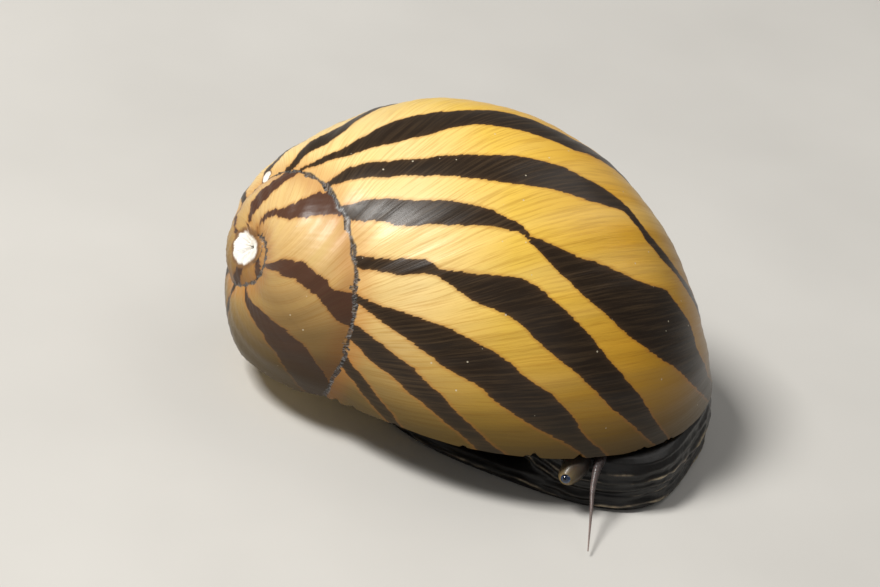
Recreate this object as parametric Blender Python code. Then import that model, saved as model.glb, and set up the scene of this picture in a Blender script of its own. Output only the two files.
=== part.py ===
# Nerite snail: a wide, low, rapidly growing right-handed shell carried over a dark flat foot.
# Head toward -Y, the animal's left toward +X, up is +Z, the sole of the foot rests on z = 0.
import bpy
import bmesh
from math import sin, cos, pi, exp, hypot, radians
from mathutils import Vector, Matrix, Euler

for old in list(bpy.data.objects):
    bpy.data.objects.remove(old, do_unlink=True)

MM = 0.001

# driving dimensions, millimetres and degrees
GAP = 0.3

# coiling axis of the shell: where its tip lies and how it leans
APEX = (-7.4, 12.7, 8.7)
AXIS_TURN = (69.1, 33.6, -150.1)

# the growing tube: size per turn angle, and its section beside the axis
GROWTH = 0.104
TUBE_OUT = 5.23
TUBE_DOWN = 17.6
TUBE_LONG = 12.7
TUBE_WIDE = 8.9
TUBE_LEAN = -86.7
TUBE_SQUARE = 2.24
SIDE_SKEW = -0.157
END_SKEW = -0.032
CORNER_SKEW = -0.048
# how these change over one earlier turn, as shares of themselves
OUT_DRIFT = 0.08
LONG_DRIFT = -0.12
WIDE_DRIFT = -0.22
LEAN_DRIFT = 22.5
DRIFT_END = -1.6
CORE = 1.2

# shoulder of the last whorl where it meets the older one, and how deep older whorls lie sunk
SHOULDER = 0.76
SHOULDER_ANGLE = 3.22
SHOULDER_SPREAD = 0.335
SHOULDER_START = -4.4
SHOULDER_FULL = -3.6
SUNK_TURNS = (-5.4, -6.3, -10.5, -12.0)
SUNK_DEPTHS = (0.0, 0.5, 0.6, 1.0)
SUNK_ANGLES = (0.8, 3.1, 4.2)

# where each whorl starts and ends along the spiral, radians before the lip corner
BODY_START = -4.75
BODY_END = 0.12
SPIRE_START = -10.9
APEX_START = -16.8

# heights over the floor
LIP_HEIGHT = 3.2
CALLUS_HEIGHT = 2.1
WALL = 0.9
CAVITY_TOP = 6.4

# inner lip: the line its toothed edge follows, seen from above, and the shelf behind it
INNER_LIP_START = (-7.2, 4.9)
INNER_LIP_END = (6.6, -4.3)
DECK_LENGTH = 12.6
DECK_INSET = 1.8
DECK_DEPTH = 3.2
DECK_LOW = 2.6
DECK_HIGH = 3.7
TOOTH = 0.28
TEETH = 5

# foot, seen from above, and the heights of what stands on it
FOOT_MIDDLE = (0.8, -1.9)
FOOT_HALF = (7.0, 9.4)
FOOT_THICK = 1.0
FRONT_SQUARE = 3.5
REAR_SQUARE = 2.1
GROOVE_Y = -9.1
STALK_MIDDLE = (-2.4, -2.7)
STALK_HALF = (3.3, 2.9)
STALK_TOP = 2.9
LID_MIDDLE = (-1.2, 6.3)
LID_HALF = (3.0, 1.9)
LID_THICK = 0.45

# head: broad blunt snout whose middle lies to the left of the foot's
HEAD_X = 1.2
HEAD_SQUARE = 2.8
MOUTH_HALF = (1.5, 0.9, 0.24)
MOUTH_HEIGHT = 1.95

# eye stalks and feelers: stations of x, y, z and radius
EYE_RADIUS = 0.36
FEELER_RIGHT = ((-4.2, -7.9, 2.2, 0.42), (-5.3, -7.85, 2.1, 0.4), (-6.6, -8.15, 1.65, 0.32),
                (-7.9, -8.65, 1.05, 0.26), (-9.3, -9.2, 0.5, 0.14))
FEELER_LEFT = ((6.6, -8.1, 2.2, 0.42), (7.8, -8.05, 2.15, 0.4), (9.1, -7.95, 1.75, 0.32),
               (10.3, -7.8, 1.2, 0.26), (11.5, -7.7, 0.6, 0.14))
STALK_RIGHT = ((-4.2, -6.9, 2.35, 0.4), (-5.2, -6.9, 2.3, 0.52), (-6.1, -6.8, 2.15, 0.64),
               (-6.8, -6.7, 2.0, 0.5), (-7.15, -6.65, 1.92, 0.28))
STALK_LEFT = ((6.6, -6.8, 2.35, 0.4), (7.4, -6.6, 2.3, 0.52), (8.2, -6.4, 2.15, 0.64),
              (8.85, -6.3, 2.0, 0.5), (9.2, -6.25, 1.92, 0.28))


def collection(name):
    made = bpy.data.collections.new(name)
    bpy.context.scene.collection.children.link(made)
    return made


PARTS = collection("nerite_snail")
CUTTERS = collection("cutters")


def material(name, colour, roughness):
    made = bpy.data.materials.new(name)
    made.use_nodes = True
    shader = made.node_tree.nodes["Principled BSDF"]
    shader.inputs["Base Color"].default_value = (*colour, 1.0)
    shader.inputs["Roughness"].default_value = roughness
    made.diffuse_color = (*colour, 1.0)
    return made


SHELL = material("shell_ochre", (0.62, 0.36, 0.09), 0.28)
SPIRE = material("shell_spire_tan", (0.50, 0.30, 0.13), 0.34)
WORN = material("shell_worn_white", (0.85, 0.83, 0.78), 0.55)
CALLUS = material("callus_cream", (0.70, 0.58, 0.36), 0.3)
LID = material("operculum_brown", (0.10, 0.05, 0.03), 0.35)
FLESH = material("flesh_charcoal", (0.035, 0.031, 0.028), 0.42)
SOLE = material("sole_grey", (0.10, 0.09, 0.075), 0.45)
FEELER = material("feeler_mauve", (0.12, 0.085, 0.08), 0.35)
EYE = material("eye_blue_black", (0.006, 0.008, 0.014), 0.12)


def mesh_object(name, points, faces, group, slot=None):
    mesh = bpy.data.meshes.new(name)
    mesh.from_pydata(points, [], faces)
    made = bpy.data.objects.new(name, mesh)
    group.objects.link(made)
    shell = bmesh.new()
    shell.from_mesh(mesh)
    bmesh.ops.remove_doubles(shell, verts=shell.verts, dist=0.00001)
    bmesh.ops.recalc_face_normals(shell, faces=shell.faces)
    if shell.calc_volume(signed=True) < 0:
        bmesh.ops.reverse_faces(shell, faces=shell.faces)
    shell.to_mesh(mesh)
    shell.free()
    if slot:
        mesh.materials.append(slot)
    return made


def loft(name, rings, group, slot=None):
    """Closed body through rings of equal point counts, its two ends filled with fans."""
    count = len(rings[0])
    points = [p for ring in rings for p in ring]
    faces = []
    for i in range(len(rings) - 1):
        for j in range(count):
            k = (j + 1) % count
            a = i * count
            b = a + count
            faces.append((a + j, a + k, b + k, b + j))
    for ring, first in ((rings[0], 0), (rings[-1], (len(rings) - 1) * count)):
        middle = sum((Vector(p) for p in ring), Vector()) / count
        points.append(tuple(middle))
        tip = len(points) - 1
        for j in range(count):
            faces.append((tip, first + j, first + (j + 1) % count))
    return mesh_object(name, points, faces, group, slot)


def smooth(part, angle=32):
    part.data.shade_smooth()
    part.data.set_sharp_from_angle(angle=radians(angle))


def combine(part, tool, operation, solver="EXACT"):
    """Joins or cuts a solid with another and keeps the largest piece that results."""
    step = part.modifiers.new(operation, "BOOLEAN")
    step.operation = operation
    step.solver = solver
    step.object = tool
    bpy.context.view_layer.update()
    graph = bpy.context.evaluated_depsgraph_get()
    made = bpy.data.meshes.new_from_object(part.evaluated_get(graph))
    part.modifiers.clear()
    part.data = made
    bpy.data.objects.remove(tool, do_unlink=True)
    tidy(part)


def tidy(part):
    shell = bmesh.new()
    shell.from_mesh(part.data)
    bmesh.ops.remove_doubles(shell, verts=shell.verts, dist=0.000005)
    bmesh.ops.dissolve_degenerate(shell, edges=shell.edges, dist=0.000003)
    left = set(shell.faces)
    pieces = []
    while left:
        seed = left.pop()
        piece = {seed}
        queue = [seed]
        while queue:
            face = queue.pop()
            for edge in face.edges:
                for other in edge.link_faces:
                    if other in left:
                        left.remove(other)
                        piece.add(other)
                        queue.append(other)
        pieces.append(piece)
    biggest = max(pieces, key=lambda piece: sum(face.calc_area() for face in piece))
    spare = [face for piece in pieces if piece is not biggest for face in piece]
    bmesh.ops.delete(shell, geom=spare, context="FACES")
    bmesh.ops.triangulate(shell, faces=[face for face in shell.faces if len(face.verts) > 4])
    shell.to_mesh(part.data)
    shell.free()


def block(name, middle, size, turned=0.0):
    """Box cutter about its middle, turned about the vertical."""
    shell = bmesh.new()
    place = Matrix.Translation(Vector(middle) * MM) @ Matrix.Rotation(turned, 4, "Z")
    scale = Matrix.Diagonal((*(value * MM for value in size), 1.0))
    bmesh.ops.create_cube(shell, size=1.0, matrix=place @ scale)
    mesh = bpy.data.meshes.new(name)
    shell.to_mesh(mesh)
    shell.free()
    made = bpy.data.objects.new(name, mesh)
    CUTTERS.objects.link(made)
    return made


def box(name, low, high):
    middle = [(a + b) / 2 for a, b in zip(low, high)]
    return block(name, middle, [b - a for a, b in zip(low, high)])


# the coiled tube
TURN = Euler([radians(value) for value in AXIS_TURN], "XYZ").to_matrix()


def drifted(turn):
    share = max(DRIFT_END, min(0.5, turn / (2 * pi)))
    out = TUBE_OUT * (1 + OUT_DRIFT * share)
    long = TUBE_LONG * (1 + LONG_DRIFT * share)
    wide = TUBE_WIDE * (1 + WIDE_DRIFT * share)
    lean = radians(TUBE_LEAN + LEAN_DRIFT * share)
    return out, long, wide, lean


def outline_radius(angle):
    across = abs(cos(angle)) ** TUBE_SQUARE + abs(sin(angle)) ** TUBE_SQUARE
    skew = END_SKEW * cos(angle) + SIDE_SKEW * sin(angle) + CORNER_SKEW * sin(3 * angle)
    return across ** (-1 / TUBE_SQUARE) * (1 + skew)


def eased(value):
    value = max(0.0, min(1.0, value))
    return value * value * (3 - 2 * value)


def settled(turn, angle):
    """How far the wall stands out at the shoulder, or lies sunk under the next whorl's edge."""
    angle = angle % (2 * pi)
    depth = SUNK_DEPTHS[-1]
    for i in range(len(SUNK_TURNS) - 1):
        if turn > SUNK_TURNS[i + 1]:
            share = max(0.0, (turn - SUNK_TURNS[i]) / (SUNK_TURNS[i + 1] - SUNK_TURNS[i]))
            depth = SUNK_DEPTHS[i] + (SUNK_DEPTHS[i + 1] - SUNK_DEPTHS[i]) * share
            break
    rise, near, far = SUNK_ANGLES
    sunk = depth * eased(angle / rise) * (1 - eased((angle - near) / (far - near)))
    full = eased((turn - SHOULDER_START) / (SHOULDER_FULL - SHOULDER_START))
    spread = (angle - SHOULDER_ANGLE) / SHOULDER_SPREAD
    return SHOULDER * full * exp(-spread * spread) - sunk


def tube_point(turn, angle, swell=0.0):
    """A point on the tube wall, at a turn angle about the axis and an angle round the section."""
    swell = swell + settled(turn, angle)
    out, long, wide, lean = drifted(turn)
    size = exp(GROWTH * turn)
    radius = outline_radius(angle)
    along = (long * radius + swell / size) * cos(angle)
    aside = (wide * radius + swell / size) * sin(angle)
    r = size * (out + along * cos(lean) - aside * sin(lean))
    z = size * (-TUBE_DOWN + along * sin(lean) + aside * cos(lean))
    r = (r + hypot(r, CORE * size)) / 2
    local = Vector((r * cos(-turn), r * sin(-turn), z))
    world = TURN @ local + Vector(APEX)
    return tuple(world * MM)


def whorl(name, start, end, steps, around, group, slot=None, swell=0.0):
    rings = []
    for i in range(steps + 1):
        turn = start + (end - start) * i / steps
        rings.append([tube_point(turn, 2 * pi * j / around, swell) for j in range(around)])
    return loft(name, rings, group, slot)


def lip_frame():
    """Middle of the inner lip, its direction and the direction toward the spire side."""
    start = Vector((*INNER_LIP_START, 0))
    end = Vector((*INNER_LIP_END, 0))
    along = (end - start).normalized()
    behind = Vector((-along.y, along.x, 0))
    return (start + end) / 2, along, behind


def front_side(name, margin, low, high):
    """A large block on the open side of the inner lip line, between two heights."""
    middle, along, behind = lip_frame()
    reach = 60
    spot = middle - behind * (reach / 2 + margin)
    spot.z = (low + high) / 2
    turned = Vector((1, 0, 0)).angle(along) * (1 if along.y > 0 else -1)
    return block(name, spot, (reach, reach, high - low), turned)


def prism(name, outline, low, high, group, slot=None):
    rings = [[(x * MM, y * MM, z * MM) for x, y in outline] for z in (low, high)]
    return loft(name, rings, group, slot)


def deck_outline(margin):
    """Plan of the shelf, its teeth along the inner lip."""
    middle, along, behind = lip_frame()
    half = DECK_LENGTH / 2 + margin
    points = []
    steps = TEETH * 8
    for i in range(steps + 1):
        share = i / steps
        bump = 0 if margin else TOOTH * abs(sin(pi * TEETH * share)) * sin(pi * share)
        spot = middle + along * (half * (2 * share - 1)) - behind * (bump + margin - TOOTH)
        points.append((spot.x, spot.y))
    for far, deep in ((half - DECK_INSET * 0.3, DECK_DEPTH * 0.55), (half - DECK_INSET, DECK_DEPTH),
                      (-half + DECK_INSET * 1.4, DECK_DEPTH), (-half + DECK_INSET * 0.4, DECK_DEPTH * 0.5)):
        spot = middle + along * far + behind * (deep + margin)
        points.append((spot.x, spot.y))
    return points


def plan_ring(middle, half, z, front, rear, count=40):
    """Level rounded outline, squarer or rounder in front and behind."""
    ring = []
    for i in range(count):
        angle = 2 * pi * i / count
        c = cos(angle)
        s = sin(angle)
        power = front if s < 0 else rear
        size = (abs(c) ** power + abs(s) ** power) ** (-1 / power)
        x = middle[0] + half[0] * size * c
        y = middle[1] + half[1] * size * s
        ring.append((x * MM, y * MM, z * MM))
    return ring


def dome(name, middle, half, low, high, profile, slot, front=2.3, rear=2.3):
    """Stack of level outlines; the profile lists height shares and how far each is drawn in."""
    rings = []
    for share, inset in profile:
        size = (half[0] - inset, half[1] - inset)
        rings.append(plan_ring(middle, size, low + (high - low) * share, front, rear))
    return loft(name, rings, PARTS, slot)


def along_curve(stations, steps):
    """Smooth stations through the given ones."""
    made = []
    last = len(stations) - 1
    for i in range(last):
        before = stations[max(0, i - 1)]
        after = stations[min(last, i + 2)]
        for j in range(steps):
            u = j / steps
            spot = []
            for a, b, c, d in zip(before, stations[i], stations[i + 1], after):
                bend = (2 * a - 5 * b + 4 * c - d) * u * u + (3 * b - a - 3 * c + d) * u ** 3
                spot.append(0.5 * (2 * b + (c - a) * u + bend))
            made.append(tuple(spot))
    made.append(tuple(stations[last]))
    return made


def feeler(name, stations, slot, pointed=True, around=14):
    """Round tapering body along stations of x, y, z and radius, its far end domed or flat."""
    rings = []
    last = len(stations) - 1
    for i, (x, y, z, radius) in enumerate(stations):
        a = Vector(stations[max(0, i - 1)][:3])
        b = Vector(stations[min(last, i + 1)][:3])
        way = (b - a).normalized()
        side = way.cross(Vector((0, 0, 1))).normalized()
        lift = side.cross(way)
        caps = [(0.0, 1.0)]
        if i == last and pointed:
            caps = [(0.0, 1.0), (0.6, 0.75), (0.95, 0.3)]
        for ahead, share in caps:
            middle = Vector((x, y, z)) + way * (ahead * radius)
            ring = []
            for k in range(around):
                angle = 2 * pi * k / around
                spot = middle + (side * cos(angle) + lift * sin(angle)) * (radius * share)
                ring.append(tuple(spot * MM))
            rings.append(ring)
    return loft(name, rings, PARTS, slot)


def ball(name, middle, radius, group, slot=None, stretch=(1, 1, 1)):
    shell = bmesh.new()
    bmesh.ops.create_uvsphere(shell, u_segments=16, v_segments=10, radius=radius * MM)
    bmesh.ops.scale(shell, vec=stretch, verts=shell.verts)
    bmesh.ops.translate(shell, vec=Vector(middle) * MM, verts=shell.verts)
    mesh = bpy.data.meshes.new(name)
    shell.to_mesh(mesh)
    shell.free()
    made = bpy.data.objects.new(name, mesh)
    group.objects.link(made)
    if slot:
        mesh.materials.append(slot)
    return made


# shell: each whorl cut back from the older one it wraps
body = whorl("shell_body_whorl", BODY_START, BODY_END, 34, 48, PARTS, SHELL)
spire = whorl("shell_spire", SPIRE_START, BODY_START - 0.03, 34, 36, PARTS, SPIRE)
tip = whorl("shell_apex", APEX_START, SPIRE_START - 0.03, 30, 24, PARTS, WORN)
combine(body, whorl("spire_room", SPIRE_START, BODY_START, 34, 36, CUTTERS, None, GAP),
        "DIFFERENCE", "MANIFOLD")
combine(body, whorl("body_apex_room", APEX_START, SPIRE_START + 0.37, 31, 24, CUTTERS, None, GAP),
        "DIFFERENCE", "MANIFOLD")
combine(spire, whorl("apex_room", APEX_START, SPIRE_START, 30, 24, CUTTERS, None, GAP), "DIFFERENCE")
combine(body, box("below_lip", (-40, -40, -30), (40, 40, LIP_HEIGHT)), "DIFFERENCE", "MANIFOLD")
combine(spire, box("below_callus", (-40, -40, -30), (40, 40, CALLUS_HEIGHT)), "DIFFERENCE")

# opening of the body whorl in front of the inner lip
hollow = whorl("hollow", -3.6, 0.4, 30, 40, CUTTERS, None, -WALL)
combine(hollow, front_side("hollow_side", GAP * 0.5, -5, CAVITY_TOP), "INTERSECT")
combine(body, hollow, "DIFFERENCE", "MANIFOLD")

# flat shelf with a toothed edge that half closes the opening
deck = prism("columellar_deck", deck_outline(0.0), DECK_LOW, DECK_HIGH, PARTS, CALLUS)
combine(body, prism("deck_room", deck_outline(GAP), DECK_LOW - 4, DECK_HIGH + GAP, CUTTERS),
        "DIFFERENCE", "MANIFOLD")
combine(spire, prism("deck_spire_room", deck_outline(GAP), DECK_LOW - 4, DECK_HIGH + GAP, CUTTERS),
        "DIFFERENCE")

# soft body filling the opening, and the stalk from it to the foot
mantle = whorl("mantle", -3.5, 0.3, 30, 40, PARTS, FLESH, -(WALL + GAP))
combine(mantle, front_side("mantle_side", GAP * 1.5, LIP_HEIGHT, CAVITY_TOP - GAP), "INTERSECT")
combine(mantle, whorl("mantle_spire_room", SPIRE_START, BODY_START + 0.1, 34, 36, CUTTERS, None, 2 * GAP),
        "DIFFERENCE")
combine(mantle, prism("mantle_deck_room", deck_outline(GAP), -2, DECK_HIGH + GAP, CUTTERS), "DIFFERENCE")
ROUND_EDGE = ((0.0, 0.5), (0.12, 0.12), (0.35, 0.0), (0.65, 0.15), (0.88, 0.5), (1.0, 1.1))
FOOT_SHAPE = (SOLE, FRONT_SQUARE, REAR_SQUARE)
foot = dome("foot", FOOT_MIDDLE, FOOT_HALF, 0, FOOT_THICK, ROUND_EDGE, *FOOT_SHAPE)
front = dome("foot_front_lobe", FOOT_MIDDLE, FOOT_HALF, 0, FOOT_THICK, ROUND_EDGE, *FOOT_SHAPE)
combine(foot, box("foot_front_room", (-20, -20, -2), (20, GROOVE_Y + GAP, 5)), "DIFFERENCE")
combine(front, box("foot_rear_room", (-20, GROOVE_Y, -2), (20, 20, 5)), "DIFFERENCE")
BARREL = ((0.0, 0.35), (0.2, 0.05), (0.5, 0.0), (0.8, 0.05), (1.0, 0.3))
dome("body_stalk", STALK_MIDDLE, STALK_HALF, FOOT_THICK + GAP, STALK_TOP, BARREL, FLESH)
PLATE = ((0.0, 0.2), (0.3, 0.0), (0.7, 0.0), (1.0, 0.25))
dome("operculum", LID_MIDDLE, LID_HALF, FOOT_THICK + GAP, FOOT_THICK + GAP + LID_THICK, PLATE, LID)

# head: stations of y, half width, floor and top height
HEAD_STATIONS = ((-5.95, 4.5, 1.4, 2.8), (-6.6, 4.9, 1.32, 2.9), (-8.0, 5.15, 1.3, 2.9),
                 (-9.6, 4.95, 1.3, 2.9), (-10.5, 4.3, 1.3, 2.85), (-11.1, 3.6, 1.35, 2.7),
                 (-11.4, 2.7, 1.6, 2.45))
rings = []
for y, half, low, high in HEAD_STATIONS:
    ring = []
    for k in range(36):
        c = cos(2 * pi * k / 36)
        s = sin(2 * pi * k / 36)
        size = (abs(c) ** HEAD_SQUARE + abs(s) ** HEAD_SQUARE) ** (-1 / HEAD_SQUARE)
        x = HEAD_X + half * size * c
        z = (low + high) / 2 + (high - low) / 2 * size * s
        ring.append((x * MM, y * MM, z * MM))
    rings.append(ring)
head = loft("head", rings, PARTS, FLESH)
combine(head, ball("mouth", (HEAD_X, -11.5, MOUTH_HEIGHT), 1.0, CUTTERS, None, MOUTH_HALF), "DIFFERENCE")

# feelers in two lengths, eye stalks and eyes
for side, line, stem in (("right", FEELER_RIGHT, STALK_RIGHT), ("left", FEELER_LEFT, STALK_LEFT)):
    smooth_line = along_curve(line, 4)
    feeler("feeler_" + side + "_root", smooth_line[1:9], FEELER, False)
    feeler("feeler_" + side + "_end", smooth_line[9:], FEELER)
    smooth_stem = along_curve(stem, 3)
    stalk = feeler("eye_stalk_" + side, smooth_stem[1:], FEELER)
    x, y, z, radius = stem[-1]
    eye = (x, y - 0.1, z + 0.28)
    combine(stalk, ball("socket_" + side, eye, EYE_RADIUS + GAP * 0.5, CUTTERS), "DIFFERENCE")
    ball("eye_" + side, eye, EYE_RADIUS, PARTS, EYE)

for part in PARTS.objects:
    smooth(part)
for part in CUTTERS.objects:
    part.hide_render = True
    part.display_type = "WIRE"
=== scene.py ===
"""Striped nerite snail: fine shell, skin, eyes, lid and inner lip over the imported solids."""
import bpy
import bmesh
import numpy as np
from functools import partial
from math import pi, radians
from mathutils import Euler, Matrix, Quaternion, Vector, noise
from bpy.props import FloatProperty, FloatVectorProperty, IntProperty, PointerProperty


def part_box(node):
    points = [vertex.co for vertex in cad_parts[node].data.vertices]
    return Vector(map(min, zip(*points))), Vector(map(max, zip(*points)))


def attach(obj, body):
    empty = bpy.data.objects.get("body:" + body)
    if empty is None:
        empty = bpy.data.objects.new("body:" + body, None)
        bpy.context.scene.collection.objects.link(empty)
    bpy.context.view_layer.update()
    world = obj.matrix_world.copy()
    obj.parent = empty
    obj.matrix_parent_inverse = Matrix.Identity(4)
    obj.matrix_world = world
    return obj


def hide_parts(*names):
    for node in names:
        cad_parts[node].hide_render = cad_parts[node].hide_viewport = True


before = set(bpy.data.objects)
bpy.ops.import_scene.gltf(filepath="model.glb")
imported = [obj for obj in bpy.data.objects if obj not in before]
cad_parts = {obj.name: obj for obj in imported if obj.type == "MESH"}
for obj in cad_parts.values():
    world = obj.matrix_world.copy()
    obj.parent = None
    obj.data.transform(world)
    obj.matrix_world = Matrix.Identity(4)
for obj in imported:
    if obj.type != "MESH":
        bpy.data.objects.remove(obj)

bl_info = {
    "name": "Nerite snail",
    "version": (1, 0, 0),
    "blender": (4, 5, 0),
    "location": "3D View > Sidebar > Nerite",
    "description": "Builds a striped nerite snail over its solid model",
    "category": "Object",
}

MM = 0.001

# coiling axis of the shell, millimetres and degrees
APEX = np.array((-7.4, 12.7, 8.7))
AXIS_TURN = (69.1, 33.6, -150.1)
TURN = np.array(Euler([radians(v) for v in AXIS_TURN], "XYZ").to_matrix())

# section of the tube at the lip corner in millimetres and degrees, and its growth in a radian
GROWTH_RATE = 0.104
OUTSET = 5.23
DROP = -17.6
SECTION_LENGTH = 12.7
SECTION_WIDTH = 8.9
SQUARENESS = 2.24
LEAN = -86.7
CORE = 1.2

# how the section is fuller at one end, on one side and at its corners
FULLER_END = -0.032
FULLER_SIDE = -0.157
FULLER_CORNERS = -0.048

# how the section drifts in each full turn, between the oldest and the newest turn that drift
OUTSET_DRIFT = 0.08
LENGTH_DRIFT = -0.12
WIDTH_DRIFT = -0.22
LEAN_DRIFT = 22.5
OLDEST_SHARE = -1.6
NEWEST_SHARE = 0.5

# spiral turns in radians, counted back from the corner of the lip
BODY_START = -4.75
SPIRE_START = -10.9
APEX_START = -16.9
NUCLEUS_START = -22.9
LIP_HEIGHT = 3.2
CALLUS_HEIGHT = 2.1

# how far neighbouring whorls run into each other, and where the last one is cut off
OVERLAP = 0.25
MOUTH_TURN = 0.14

# hollow of the mouth: its turns, and in millimetres its ceiling, its gap behind the inner lip
# and how much thicker the wall is well above the lip
HOLLOW_TURNS = (-3.6, 0.5)
HOLLOW_TOP = 6.4
HOLLOW_GAP = 0.15
UPPER_EXTRA = 0.55

# shoulder of the last whorl where it meets the older one, and how deep older whorls lie sunk
SHOULDER = 0.76
SHOULDER_ANGLE = 3.22
SHOULDER_SPREAD = 0.335
SHOULDER_START = -4.4
SHOULDER_FULL = -3.6
SUNK_TURNS = (-12.0, -10.5, -6.3, -5.4)
SUNK_DEPTHS = (1.3, 0.65, 0.5, 0.0)
SUNK_ANGLES = (0.8, 3.1, 4.2)

# where the horny skin has worn off to white lime: middle and radius
WORN_SPOTS = (((-7.35, 12.95, 8.38), 1.15), ((-3.3, 13.3, 10.5), 0.36))

# line that the inner lip follows, seen from above
INNER_LIP_START = (-7.2, 4.9)
INNER_LIP_END = (6.6, -4.3)

# one growth line: its turn at each angle round the section
LINE_ANGLES = (-1.2, -0.5, 0.0, 0.35, 0.8, 1.2, 1.66, 2.0, 2.2, 2.4, 2.7, 2.8, 2.92, 3.05, 3.2, 3.9)
LINE_TURNS = (-2.6, -1.7, -1.15, -0.93, -0.79, -0.66, -0.522, -0.403, -0.319, -0.221, -0.047,
              0.025, 0.139, 0.315, 0.585, 1.9)

# dark bands, newest whorl first, each by stations from the shoulder outwards: angle round the
# section, turn of the band's middle, and half its width in radians
BANDS = (
    ((3.17, -2.714, 0.064), (2.99, -2.698, 0.12), (2.85, -2.70, 0.085), (2.72, -2.75, 0.05),
     (2.5, -2.82, 0.05), (2.2, -2.88, 0.07), (1.6, -2.78, 0.08), (0.9, -2.56, 0.10),
     (0.0, -2.30, 0.09)),
    ((3.21, -2.50, 0.035), (3.11, -2.37, 0.04), (2.98, -2.30, 0.05), (2.73, -2.295, 0.12),
     (2.5, -2.275, 0.13), (2.18, -2.25, 0.09), (1.88, -2.21, 0.10), (1.63, -2.14, 0.10),
     (1.42, -2.14, 0.07), (1.2, -2.12, 0.06), (0.8, -2.0, 0.08), (0.0, -1.76, 0.10)),
    ((3.12, -2.03, 0.03), (3.04, -2.02, 0.07), (2.91, -1.985, 0.085), (2.64, -1.895, 0.066),
     (2.35, -1.84, 0.083), (2.07, -1.815, 0.093), (1.78, -1.777, 0.075), (1.55, -1.763, 0.055),
     (1.46, -1.745, 0.035), (1.4, -1.712, 0.04), (1.3, -1.617, 0.036), (1.16, -1.563, 0.032),
     (1.04, -1.525, 0.024), (0.95, -1.505, 0.022), (0.8, -1.47, 0.04), (0.3, -1.36, 0.08),
     (-0.4, -1.15, 0.10)),
    ((3.15, -1.65, 0.06), (3.03, -1.63, 0.09), (2.83, -1.58, 0.098), (2.55, -1.553, 0.077),
     (2.27, -1.523, 0.045), (2.14, -1.49, 0.02), (2.07, -1.43, 0.02), (1.95, -1.375, 0.05),
     (1.8, -1.315, 0.08), (1.6, -1.272, 0.118), (1.39, -1.229, 0.14), (1.2, -1.21, 0.164),
     (1.07, -1.172, 0.154), (0.9, -1.118, 0.133), (0.8, -1.06, 0.10), (0.5, -0.96, 0.07)),
    ((3.08, -1.16, 0.04), (2.98, -1.163, 0.05), (2.8, -1.20, 0.055), (2.66, -1.215, 0.04),
     (2.58, -1.195, 0.022), (2.47, -1.17, 0.05), (2.3, -1.16, 0.08), (2.13, -1.145, 0.10),
     (2.0, -1.10, 0.11), (1.79, -1.015, 0.10), (1.6, -0.925, 0.08), (1.4, -0.835, 0.068),
     (1.15, -0.72, 0.04), (0.8, -0.55, 0.03)),
    ((3.0, -0.86, 0.035), (2.85, -0.85, 0.05), (2.65, -0.835, 0.075), (2.42, -0.82, 0.10),
     (2.2, -0.79, 0.092), (2.0, -0.745, 0.088), (1.8, -0.695, 0.075), (1.6, -0.625, 0.038),
     (1.3, -0.52, 0.02)),
    ((2.96, -0.60, 0.06), (2.8, -0.575, 0.072), (2.55, -0.55, 0.062), (2.37, -0.525, 0.05),
     (2.2, -0.485, 0.035), (1.9, -0.42, 0.03)),
    ((2.95, -0.33, 0.05), (2.75, -0.30, 0.045), (2.5, -0.26, 0.03), (2.3, -0.2, 0.02)),
    ((3.25, -3.18, 0.05), (2.7, -3.10, 0.08), (2.0, -2.98, 0.10), (1.4, -2.82, 0.07),
     (0.8, -2.70, 0.11), (0.0, -2.50, 0.12)),
    ((3.3, -3.64, 0.06), (2.7, -3.55, 0.07), (2.1, -3.46, 0.03), (1.9, -3.38, 0.07),
     (1.3, -3.24, 0.12), (0.6, -3.10, 0.15), (0.0, -2.95, 0.15)),
    ((3.3, -4.10, 0.06), (2.5, -4.02, 0.09), (1.9, -3.90, 0.10), (1.2, -3.74, 0.12),
     (0.5, -3.60, 0.14)),
    ((3.4, -4.62, 0.05), (2.6, -4.52, 0.08), (2.0, -4.42, 0.10), (1.2, -4.30, 0.12)),
    ((3.4, -5.17, 0.05), (2.6, -5.05, 0.09), (1.8, -4.92, 0.12)),
    ((3.62, -5.68, 0.03), (3.53, -5.85, 0.12), (3.45, -6.06, 0.17), (3.33, -6.20, 0.15),
     (3.19, -6.27, 0.18), (3.04, -6.30, 0.178), (2.91, -6.30, 0.19), (2.68, -6.236, 0.164),
     (2.54, -6.21, 0.13), (2.2, -6.1, 0.1)),
    ((3.85, -6.60, 0.02), (3.79, -6.70, 0.04), (3.66, -6.97, 0.09), (3.52, -7.14, 0.13),
     (3.37, -7.20, 0.135), (3.16, -7.14, 0.10), (2.97, -7.06, 0.10), (2.79, -7.04, 0.138),
     (2.4, -7.0, 0.12)),
    ((3.9, -8.80, 0.05), (3.83, -8.66, 0.08), (3.54, -8.10, 0.125), (3.33, -8.07, 0.156),
     (3.0, -8.07, 0.175), (2.8, -8.05, 0.16)),
    ((3.88, -9.50, 0.04), (3.72, -9.16, 0.20), (3.6, -9.06, 0.25), (3.48, -8.93, 0.167),
     (3.39, -8.90, 0.13), (2.9, -8.88, 0.12)),
    ((3.9, -10.25, 0.06), (3.6, -9.95, 0.07), (3.0, -9.7, 0.10)),
    ((4.1, -11.6, 0.16), (3.0, -11.5, 0.18)),
    ((4.1, -12.7, 0.2), (3.0, -12.6, 0.2)),
)


def linear(hex_colour):
    """Turns an sRGB hex value into the linear colour that a shader takes."""
    out = []
    for i in (0, 2, 4):
        v = int(hex_colour[i:i + 2], 16) / 255
        out.append(v / 12.92 if v <= 0.04045 else ((v + 0.055) / 1.055) ** 2.4)
    return (*out, 1.0)


# readings of the coiled tube: from places on it back to its turns and angles

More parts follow.
